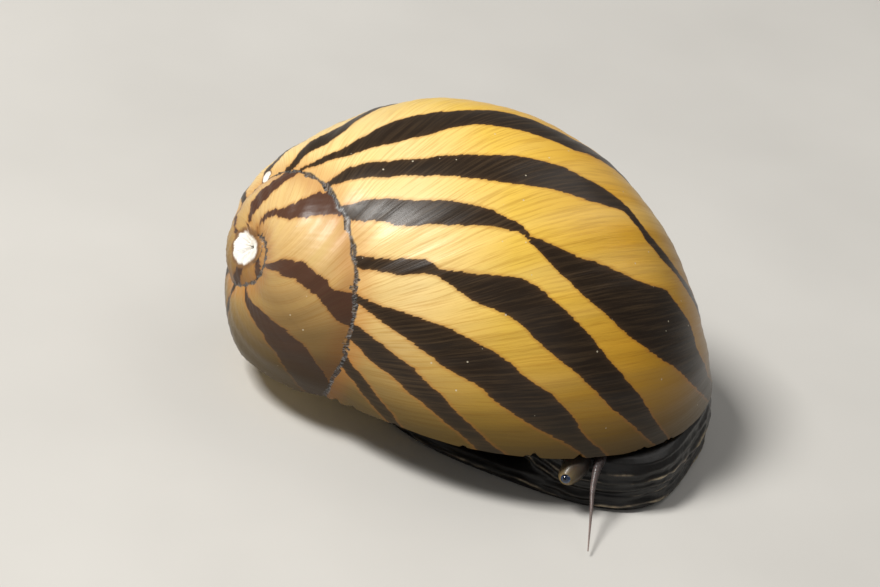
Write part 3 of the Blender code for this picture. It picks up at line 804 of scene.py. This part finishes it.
def lip_cutter():
    """Block under the lip whose top is slightly uneven, as a grown and chipped edge is."""
    xs = np.linspace(-16, 14, 121)
    ys = np.linspace(-16, 18, 137)
    top = []
    # the edge has a fine grain and small chips, and rises to the callus on the spire's side
    for y in ys:
        for x in xs:
            grain = noise.noise(Vector((x * 0.9, y * 0.9, 3.1))) * 0.05
            chip = max(0.0, noise.noise(Vector((x * 1.9, y * 1.9, 8.7))) - 0.30) * 0.8
            spire_side = 1 / (1 + np.exp(-(y + 0.55 * x - 7.2) * 1.2))
            slope = (CALLUS_HEIGHT - LIP_HEIGHT) * spire_side
            slope -= 0.9 * np.exp(-((x + 8.8) / 3.0) ** 2 - ((y - 8.5) / 3.6) ** 2)
            top.append((x, y, LIP_HEIGHT + grain + chip * (1 - spire_side) + slope))
    top = np.array(top).reshape(len(ys), len(xs), 3)
    low = top.copy()
    low[:, :, 2] = -30
    points = np.vstack([top.reshape(-1, 3), low.reshape(-1, 3)])
    rows, cols = len(ys), len(xs)
    shift = rows * cols
    faces = []
    for i in range(rows - 1):
        for j in range(cols - 1):
            a = i * cols + j
            faces.append((a, a + 1, a + cols + 1, a + cols))
            faces.append((shift + a, shift + a + cols, shift + a + cols + 1, shift + a + 1))
    rim = [(0, j) for j in range(cols - 1)] + [(i, cols - 1) for i in range(rows - 1)]
    rim += [(rows - 1, j) for j in range(cols - 1, 0, -1)] + [(i, 0) for i in range(rows - 1, 0, -1)]
    for (i, j), (m, n) in zip(rim, rim[1:] + rim[:1]):
        a = i * cols + j
        b = m * cols + n
        faces.append((a, shift + a, shift + b, b))
    return mesh_object("lip_cutter", points, faces)


def inner_lip_frame():
    """Middle of the inner lip, the way along it and the way behind it, in millimetres."""
    start = Vector((*INNER_LIP_START, 0))
    end = Vector((*INNER_LIP_END, 0))
    along = (end - start).normalized()
    return (start + end) / 2, along, Vector((-along.y, along.x, 0))


def front_block(margin, low, high):
    """Block over everything in front of the inner lip, a margin away from it."""
    middle, along, behind = inner_lip_frame()
    centre = middle + behind * (-15 - margin / 2) + Vector((0, 0, (low + high) / 2))
    sides = Matrix.Diagonal((60, 30 - margin, high - low, 1))
    turned = Matrix.LocRotScale(centre * MM, Matrix.Rotation(along.to_2d().angle_signed(
        Vector((1, 0))), 3, "Z"), None)
    shell = bmesh.new()
    bmesh.ops.create_cube(shell, size=MM, matrix=turned @ sides)
    mesh = bpy.data.meshes.new("front_block")
    shell.to_mesh(mesh)
    shell.free()
    return placed("front_block", mesh)


class NeriteSizes(bpy.types.PropertyGroup):
    """Sizes that a user would change."""
    lip_wall: FloatProperty(name="Lip thickness", description="Wall of the shell at its edge",
                            default=0.00035, min=0.0002, max=0.001, unit="LENGTH")
    fold_height: FloatProperty(name="Fold height", description="Height of the folds in the skin",
                               default=0.00019, min=0.0, max=0.0004, unit="LENGTH")
    fold_gap: FloatProperty(name="Fold spacing", description="Distance between folds of the skin",
                            default=0.00052, min=0.0002, max=0.002, unit="LENGTH")
    shell_steps: IntProperty(name="Shell steps", description="Rings along the last whorl",
                             default=250, min=60, max=400)


class NeriteColours(bpy.types.PropertyGroup):
    """Colours that a user would change."""
    ground: FloatVectorProperty(name="Shell ground", description="Amber between the bands",
                                default=linear("E2BC52")[:3], min=0.0, max=1.0, subtype="COLOR")
    bands: FloatVectorProperty(name="Bands", description="Dark brown in the middle of the bands",
                               default=linear("251B12")[:3], min=0.0, max=1.0, subtype="COLOR")
    skin: FloatVectorProperty(name="Skin", description="Near-black of the skin between its folds",
                              default=linear("1B1813")[:3], min=0.0, max=1.0, subtype="COLOR")
    floor: FloatVectorProperty(name="Floor", description="Pale grey of the board underneath",
                               default=linear("C6C4C0")[:3], min=0.0, max=1.0, subtype="COLOR")


class NERITE_OT_shell(bpy.types.Operator):
    """Grow the coiled shell, cut its opening and mark its bands"""
    bl_idname = "nerite.shell"
    bl_label = "Shell"

    def execute(self, context):
        sizes = context.scene.nerite_sizes
        steps = sizes.shell_steps

        def surface(start, end):
            """Growth ridges of a whorl that runs into its neighbours."""
            return lambda turn, angle: ripple(turn, angle) + eased(turn, start, end)

        tree = coil_tree()
        colours = context.scene.nerite_colours
        glaze = grown_shell(colours.ground, colours.bands)
        outer = {"Glaze": glaze}
        body = whorl("shell", tree, BODY_START - OVERLAP, MOUTH_TURN, steps,
                     fine_angles(int(steps * 0.95)), surface(BODY_START, 9.0), outer)
        spire = whorl("spire", tree, SPIRE_START - OVERLAP, BODY_START + OVERLAP,
                      int(steps * 0.75), fine_angles(int(steps * 0.5)),
                      surface(SPIRE_START, BODY_START), outer)
        tip = whorl("tip", tree, APEX_START - 0.1, SPIRE_START + OVERLAP, 110, fine_angles(90),
                    surface(APEX_START, SPIRE_START), outer)
        nucleus = whorl("nucleus", tree, NUCLEUS_START, APEX_START + 0.1, 60, fine_angles(48),
                        surface(-99, APEX_START), outer)
        combine(tip, nucleus, "UNION")
        combine(spire, tip, "UNION")
        combine(body, spire, "UNION")
        combine(body, lip_cutter(), "DIFFERENCE")
        inner = {"Lip wall": -sizes.lip_wall, "Upper wall": -sizes.lip_wall - UPPER_EXTRA * MM,
                 "Glaze": glaze}
        hollow = whorl("hollow", tree, *HOLLOW_TURNS, 120,
                       np.linspace(0, 2 * pi, 120, endpoint=False),
                       lambda turn, angle: np.zeros_like(turn), inner)
        combine(hollow, front_block(HOLLOW_GAP, -5, HOLLOW_TOP), "INTERSECT")
        combine(body, hollow, "DIFFERENCE")
        largest(body)
        inside = face_readings(body)
        body.data.shade_smooth()
        body.data.set_sharp_from_angle(angle=radians(38))
        adopt("shell", body, ("shell_body_whorl", "shell_spire", "shell_apex"), "shell_ochre",
              glaze, inner_enamel())
        body.data.polygons.foreach_set("material_index", inside.astype(np.int32))
        return {"FINISHED"}


def plan_ring(middle, half, z, front=2.3, rear=2.3, count=120):
    """Level ring of points: an oval, squarish by one power in front and by another behind."""
    angle = np.linspace(0, 2 * pi, count, endpoint=False)
    c, s = np.cos(angle), np.sin(angle)
    power = np.where(s < 0, front, rear)
    size = (np.abs(c) ** power + np.abs(s) ** power) ** (-1 / power)
    x = middle[0] + half[0] * size * c
    y = middle[1] + half[1] * size * s
    return np.stack([x, y, np.full(count, z)], 1)


def stem_tree():
    """Node group: a round stem along a path, as thick as the path's radius, its far end rounded."""
    tree, add, given = group("stem_along_path", (
        ("Path", "Geometry", None), ("Sides", "Int", 28), ("Spacing", "Float", 0.04 * MM),
        ("Tip length", "Float", 0.3 * MM), ("Ring depth", "Float", 0.0),
        ("Bareness", "Float", 1.0), ("Skin", "Material", None)))
    smooth = add("GeometryNodeCurveSplineType", {"spline_type": "CATMULL_ROM"},
                 Curve=given["Path"])
    path = add("GeometryNodeResampleCurve", {"mode": "LENGTH"}, Curve=smooth,
               Length=given["Spacing"])
    share, gone, _ = add("GeometryNodeSplineParameter").outputs
    whole = add("GeometryNodeSplineLength")
    # half round tip: the radius falls as a circle does over the last stretch
    left = add(MATH, "DIVIDE", add(MATH, "SUBTRACT", whole, gone), given["Tip length"])
    short = add(MATH, "SUBTRACT", 1.0, add(MATH, "MINIMUM", left, 0.99))
    fall = add(MATH, "SUBTRACT", 1.0, add(MATH, "MULTIPLY", short, short))
    taper = add(MATH, "MAXIMUM", add(MATH, "SQRT", fall), 0.15)
    rings = add(MATH, "SINE", add(MATH, "DIVIDE", gone, 0.03 * MM))
    swell = add(MATH, "MULTIPLY_ADD", rings, given["Ring depth"], 1.0)
    radius = add("GeometryNodeInputRadius")
    thick = add(MATH, "MULTIPLY", radius, add(MATH, "MULTIPLY", swell, taper))
    # skin reading: no folds, bare beyond the root, and how near the tip
    away = add(RANGE, None, gone, 0.7 * MM, 1.7 * MM)
    reading = add(JOIN, X=0.1, Y=add(MATH, "MULTIPLY", away, given["Bareness"]),
                  Z=add(MATH, "MULTIPLY", share, share))
    marked = add("GeometryNodeStoreNamedAttribute", {"data_type": "FLOAT_VECTOR"},
                 Geometry=path, Name="skin", Value=reading)
    circle = add("GeometryNodeCurvePrimitiveCircle", Resolution=given["Sides"], Radius=1.0)
    tube = add("GeometryNodeCurveToMesh", Curve=marked, Profile_Curve=circle, Scale=thick,
               Fill_Caps=True)
    finish_group(add, tube, given["Skin"])
    return tree


def stem(name, tree, stations, settings):
    """Mesh of a feeler or eye stalk along stations of x, y, z and radius in millimetres."""
    line = bpy.data.curves.new(name, "CURVE")
    line.dimensions = "3D"
    spline = line.splines.new("POLY")
    spline.points.add(len(stations) - 1)
    for point, (x, y, z, radius) in zip(spline.points, stations):
        point.co = (x * MM, y * MM, z * MM, 1.0)
        point.radius = radius * MM
    return run_group(name, line, tree, settings)


# feelers and eye stalks: x, y, z and radius along each in millimetres
FEELER_RIGHT = ((-3.6, -7.8, 2.4, 0.45), (-4.7, -7.85, 2.65, 0.36), (-5.7, -7.9, 2.65, 0.24),
                (-6.8, -8.15, 2.0, 0.14), (-8.0, -8.65, 1.2, 0.075), (-9.9, -9.36, 0.3, 0.03))
FEELER_LEFT = ((5.8, -7.9, 2.1, 0.5), (6.8, -8.1, 2.2, 0.4), (7.8, -8.05, 2.15, 0.28),
               (9.1, -7.95, 1.75, 0.17), (10.3, -7.8, 1.2, 0.11), (11.6, -7.7, 0.5, 0.05))
STALK_RIGHT = ((-3.4, -6.9, 2.4, 0.6), (-4.6, -6.9, 2.45, 0.6), (-5.6, -6.85, 2.4, 0.68),
               (-6.4, -6.8, 2.25, 0.64), (-6.95, -6.7, 2.05, 0.46), (-7.25, -6.65, 1.92, 0.28))
STALK_LEFT = ((5.8, -6.8, 2.4, 0.6), (6.8, -6.75, 2.45, 0.6), (7.6, -6.6, 2.4, 0.66),
              (8.4, -6.4, 2.2, 0.62), (8.95, -6.3, 2.02, 0.44), (9.25, -6.25, 1.92, 0.28))

# each stem's line, how deep it is ringed, how bare its skin is and how long its round tip is
STEMS = (("feeler_right", FEELER_RIGHT, 0.03, 1.0, 0.05),
         ("feeler_left", FEELER_LEFT, 0.03, 1.0, 0.05),
         ("stalk_right", STALK_RIGHT, 0.0, 0.2, 0.28),
         ("stalk_left", STALK_LEFT, 0.0, 0.2, 0.28))

# skin profile: height, inset and share of the stalk outline, first in front and then behind
SKIN_ROWS = ((0.00, 5.00, 0.0, 0.00, 5.00, 0.0), (0.00, 2.50, 0.0, 0.00, 2.50, 0.0),
             (0.00, 0.45, 0.0, 0.00, 0.45, 0.0), (0.06, 0.15, 0.0, 0.06, 0.15, 0.0),
             (0.25, 0.00, 0.0, 0.22, 0.00, 0.0), (0.60, 0.00, 0.0, 0.50, 0.05, 0.0),
             (0.95, 0.14, 0.0, 0.75, 0.25, 0.0), (1.20, 0.06, 0.0, 0.92, 0.70, 0.0),
             (1.60, 0.00, 0.0, 1.00, 1.30, 0.0), (2.00, 0.02, 0.0, 1.04, 2.00, 0.3),
             (2.40, 0.12, 0.0, 1.08, 2.00, 0.6), (2.75, 0.30, 0.0, 1.15, 1.30, 0.85),
             (2.95, 0.60, 0.0, 1.40, 0.30, 0.98), (3.05, 1.20, 0.1, 2.00, 0.00, 1.0),
             (3.15, 2.00, 0.5, 2.80, 0.00, 1.0), (3.60, 0.00, 1.0, 3.60, 0.00, 1.0))
SKIN_STEPS = (1, 3, 2, 4, 7, 7, 5, 8, 8, 8, 7, 5, 4, 3, 4)
FRONT_FROM = -2.8
FRONT_FULL = -6.2

# outlines of the foot and of the body stalk seen from above: middle and half sizes
FOOT_MIDDLE = (0.8, -1.9)
FOOT_HALF = (7.0, 9.4)
BODY_MIDDLE = (-2.4, -2.7)
BODY_HALF = (3.1, 2.7)

# cleft of the mouth across the front of the head
MOUTH_X = 1.2
MOUTH_Z = 1.45
MOUTH_IN_FRONT_OF = -9.5


def skin_grid(count):
    """Rings of the fused foot, head and stalk: a wall in front, a low shelf behind."""
    table = np.array(SKIN_ROWS)
    spots = [i + j / n for i, n in enumerate(SKIN_STEPS) for j in range(n)] + [len(table) - 1]
    stalk = plan_ring(BODY_MIDDLE, BODY_HALF, 0.0, count=count)[:, :2]
    edge = plan_ring(FOOT_MIDDLE, FOOT_HALF, 0.0, 3.5, 2.1, count)
    front = smoothstep((FRONT_FROM - edge[:, 1]) / (FRONT_FROM - FRONT_FULL))[:, None]
    rings = []
    for spot in spots:
        row = [np.interp(spot, range(len(table)), table[:, i]) for i in range(6)]
        sides = []
        for high, inset, share in (row[:3], row[3:]):
            half = (FOOT_HALF[0] - inset, FOOT_HALF[1] - inset)
            ring = plan_ring(FOOT_MIDDLE, half, high, 3.5, 2.1, count)
            ring[:, :2] = ring[:, :2] * (1 - share) + stalk * share
            sides.append(ring)
        rings.append(sides[0] * front + sides[1] * (1 - front))
    return np.array(rings)


def folded(places, normals, gap, height):
    """How far the skin stands out in folds at each place, and how close each is to a crest."""
    out = np.zeros(len(places))
    crest = np.zeros(len(places))
    for i, (p, n) in enumerate(zip(places, normals)):
        x, y, z = p
        sway = noise.noise(Vector((x * 0.35, y * 0.35, z * 0.3))) * 1.3
        sway += noise.noise(Vector((x * 1.1, y * 1.1, z * 0.7 + 5))) * 0.5
        side = max(0.0, 1.0 - abs(n[2]) * 1.1)
        deep = 0.65 + 0.35 * noise.noise(Vector((x * 0.8, y * 0.8, z * 2.5 + 9)))
        fold = abs(np.sin(pi * z / gap + sway * 1.6)) ** 2.6 * deep
        cross = noise.noise(Vector((x * 1.6, y * 1.6, z * 6.0)))
        fine = noise.noise(Vector((x * 6.5, y * 6.5, z * 6.5)))
        mouth = 0.0
        lips = 0.0
        if y < MOUTH_IN_FRONT_OF:
            aside = x - MOUTH_X
            rise = abs(z - MOUTH_Z)
            mouth = np.exp(-(aside / 1.3) ** 2 - (rise / 0.15) ** 2)
            lips = np.exp(-(aside / 1.5) ** 2 - ((rise - 0.32) / 0.16) ** 2)
        out[i] = height * side * (fold - 0.4 + 0.18 * cross) + height * 0.06 * fine
        out[i] += 0.14 * lips - 0.42 * mouth
        crest[i] = min(1.0, max(0.0, side * fold * 1.1 + 0.15 * cross + 0.05 * fine - 0.5 * mouth))
    return out, crest


class NERITE_OT_flesh(bpy.types.Operator):
    """Fuse foot, head, mantle, feelers and eye stalks into one wrinkled skin"""
    bl_idname = "nerite.flesh"
    bl_label = "Flesh"

    def execute(self, context):
        sizes = context.scene.nerite_sizes
        skin = loft("flesh", skin_grid(460))
        count = len(skin.data.vertices)
        places = np.empty(count * 3)
        skin.data.vertices.foreach_get("co", places)
        places = places.reshape(-1, 3) / MM
        normals = np.empty(count * 3)
        skin.data.vertex_normals.foreach_get("vector", normals)
        normals = normals.reshape(-1, 3)
        out, crest = folded(places, normals, sizes.fold_gap / MM, sizes.fold_height / MM)
        # the folds fade out where the skin runs up under the shell, and on the sole
        hidden = np.clip((places[:, 2] - 2.9) / 0.4, 0, 1)
        hidden = np.clip(hidden + np.clip((0.03 - places[:, 2]) / 0.03, 0, 1), 0, 1)
        places = places + normals * (out * (1 - hidden))[:, None]
        places[:, 2] = np.maximum(places[:, 2], 0.0)
        skin.data.vertices.foreach_set("co", (places * MM).ravel())
        values = np.stack([crest, np.zeros(count), np.zeros(count)], 1)
        layer = skin.data.attributes.new("skin", "FLOAT_VECTOR", "POINT")
        layer.data.foreach_set("vector", values.astype(np.float32).ravel())
        finish = wet_skin(context.scene.nerite_colours.skin)
        tree = stem_tree()
        for name, line, rings, bare, tip in STEMS:
            settings = {"Ring depth": rings, "Bareness": bare, "Tip length": tip * MM,
                        "Skin": finish}
            combine(skin, stem(name, tree, line, settings), "UNION")
        mantle = placed("mantle_base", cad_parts["mantle"].data.copy())
        shell = bmesh.new()
        shell.from_mesh(mantle.data)
        bmesh.ops.remove_doubles(shell, verts=shell.verts, dist=0.00001)
        shell.to_mesh(mantle.data)
        shell.free()
        combine(skin, mantle, "UNION")
        largest(skin)
        skin.data.shade_smooth()
        adopt("flesh", skin, ("foot", "foot_front_lobe", "body_stalk", "head", "mantle",
                              "feeler_right_root", "feeler_right_end", "feeler_left_root",
                              "feeler_left_end", "eye_stalk_right", "eye_stalk_left"),
              "flesh_charcoal", finish)
        return {"FINISHED"}


class NERITE_OT_eyes(bpy.types.Operator):
    """Set the two small eyes on the tips of their stalks"""
    bl_idname = "nerite.eyes"
    bl_label = "Eyes"

    def execute(self, context):
        finish = wet_eye()
        for side, outward in (("right", -1), ("left", 1)):
            low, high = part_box("eye_" + side)
            middle = (Vector(low) + Vector(high)) / 2
            # the eye shows as a bead a little smaller than its solid, low on the outer side
            radius = (high[0] - low[0]) * 0.36
            middle += Vector((0.02 * outward, 0.0, -0.04)) * MM
            shell = bmesh.new()
            bmesh.ops.create_uvsphere(shell, u_segments=48, v_segments=32, radius=radius)
            for vert in shell.verts:
                vert.co.z *= 0.96
            bmesh.ops.translate(shell, vec=middle, verts=shell.verts)
            mesh = bpy.data.meshes.new("eyeball_" + side)
            shell.to_mesh(mesh)
            shell.free()
            mesh.shade_smooth()
            ball = placed("eyeball_" + side, mesh)
            adopt("eyeball_" + side, ball, ("eye_" + side,), "eye_blue_black", finish)
        return {"FINISHED"}


class NERITE_OT_lid(bpy.types.Operator):
    """Lay the horny lid on the back of the foot"""
    bl_idname = "nerite.lid"
    bl_label = "Lid"

    def execute(self, context):
        low, high = (np.array(v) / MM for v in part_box("operculum"))
        middle = (low + high) / 2
        half = (high - low) / 2
        # height and inset of each ring: a rounded rim, then a shallow groove inside it
        rows = ((low[2], 0.25), (low[2] + 0.1, 0.05), (low[2] + 0.25, 0.0), (high[2] - 0.12, 0.05),
                (high[2] - 0.02, 0.3), (high[2] - 0.05, 0.9), (high[2] - 0.02, 1.3))
        rings = [plan_ring(middle[:2], (half[0] - inset, half[1] - inset), z, 2.0, 3.2)
                 for z, inset in rows]
        lid = loft("lid", rings)
        lid.data.shade_smooth()
        adopt("lid", lid, ("operculum",), "operculum_brown", horny_lid())
        return {"FINISHED"}


class NERITE_OT_inner_lip(bpy.types.Operator):
    """Finish the toothed shelf of the inner lip"""
    bl_idname = "nerite.inner_lip"
    bl_label = "Inner lip"

    def execute(self, context):
        finish = inner_enamel()
        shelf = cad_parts["columellar_deck"]
        for spot in shelf.material_slots:
            spot.material = finish
        return {"FINISHED"}


# camera in millimetres and degrees, at the photograph's angle on the snail
CAMERA_AIM = (-4.8, 2.5, 8.44)
CAMERA_PLACE = (-171.9, -42.3, 108.8)
CAMERA_ROLL = 12.7

# soft boxes: place and side in metres, power in watts and tint
LAMPS = (("key", (-0.12, 0.14, 0.26), 0.09, 1.25, (1.0, 0.98, 0.94)),
         ("fill", (-0.26, -0.24, 0.14), 0.26, 0.085, (0.98, 0.98, 1.0)),
         ("back", (0.16, -0.10, 0.24), 0.20, 0.15, (1.0, 0.98, 0.95)))


class NERITE_OT_stage(bpy.types.Operator):
    """Set the pale floor, the soft lights and the camera"""
    bl_idname = "nerite.stage"
    bl_label = "Stage"

    def execute(self, context):
        mesh = bpy.data.meshes.new("floor")
        side = 3.0
        mesh.from_pydata([(-side, -side, 0), (side, -side, 0), (side, side, 0), (-side, side, 0)],
                         [], [(0, 1, 2, 3)])
        mesh.materials.append(pale_floor(context.scene.nerite_colours.floor))
        placed("floor", mesh)
        aim = Vector(CAMERA_AIM) * MM
        place = Vector(CAMERA_PLACE) * MM
        camera = placed("camera", bpy.data.cameras.new("camera"))
        camera.location = place
        facing = (aim - place).to_track_quat("-Z", "Y")
        camera.rotation_mode = "QUATERNION"
        camera.rotation_quaternion = facing @ Quaternion((0, 0, 1), radians(CAMERA_ROLL))
        camera.data.lens = 160
        camera.data.sensor_width = 36
        camera.data.clip_start = 0.01
        camera.data.clip_end = 20
        context.scene.camera = camera
        for name, spot, size, power, tint in LAMPS:
            light = bpy.data.lights.new(name, "AREA")
            light.energy = power
            light.size = size
            light.color = tint
            lamp = placed(name, light)
            lamp.location = spot
            lamp.rotation_euler = (aim - Vector(spot)).to_track_quat("-Z", "Y").to_euler()
        context.scene.view_settings.view_transform = "Standard"
        world = bpy.data.worlds.new("studio")
        context.scene.world = world
        world.use_nodes = True
        back = world.node_tree.nodes["Background"]
        back.inputs["Color"].default_value = linear("F0EEEA")
        back.inputs["Strength"].default_value = 0.2
        return {"FINISHED"}


class NERITE_PT_panel(bpy.types.Panel):
    """Pieces of the nerite snail"""
    bl_idname = "NERITE_PT_panel"
    bl_label = "Nerite snail"
    bl_space_type = "VIEW_3D"
    bl_region_type = "UI"
    bl_category = "Nerite"

    def draw(self, context):
        for name in ("lip_wall", "fold_height", "fold_gap", "shell_steps"):
            self.layout.prop(context.scene.nerite_sizes, name)
        for name in ("ground", "bands", "skin", "floor"):
            self.layout.prop(context.scene.nerite_colours, name)
        for step in STEPS:
            self.layout.operator(step.bl_idname)


STEPS = (NERITE_OT_shell, NERITE_OT_flesh, NERITE_OT_eyes, NERITE_OT_lid, NERITE_OT_inner_lip,
         NERITE_OT_stage)
CLASSES = (NeriteSizes, NeriteColours, *STEPS, NERITE_PT_panel)


def register():
    """Registers the classes and gives the scene its sizes and colours."""
    for one in CLASSES:
        bpy.utils.register_class(one)
    bpy.types.Scene.nerite_sizes = PointerProperty(type=NeriteSizes)
    bpy.types.Scene.nerite_colours = PointerProperty(type=NeriteColours)


def unregister():
    """Takes back what register gave."""
    del bpy.types.Scene.nerite_sizes
    del bpy.types.Scene.nerite_colours
    for one in reversed(CLASSES):
        bpy.utils.unregister_class(one)


def main():
    """Builds every piece and the stage."""
    register()
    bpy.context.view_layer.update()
    bpy.ops.nerite.shell()
    bpy.ops.nerite.flesh()
    bpy.ops.nerite.eyes()
    bpy.ops.nerite.lid()
    bpy.ops.nerite.inner_lip()
    bpy.ops.nerite.stage()


if __name__ == "__main__":
    main()
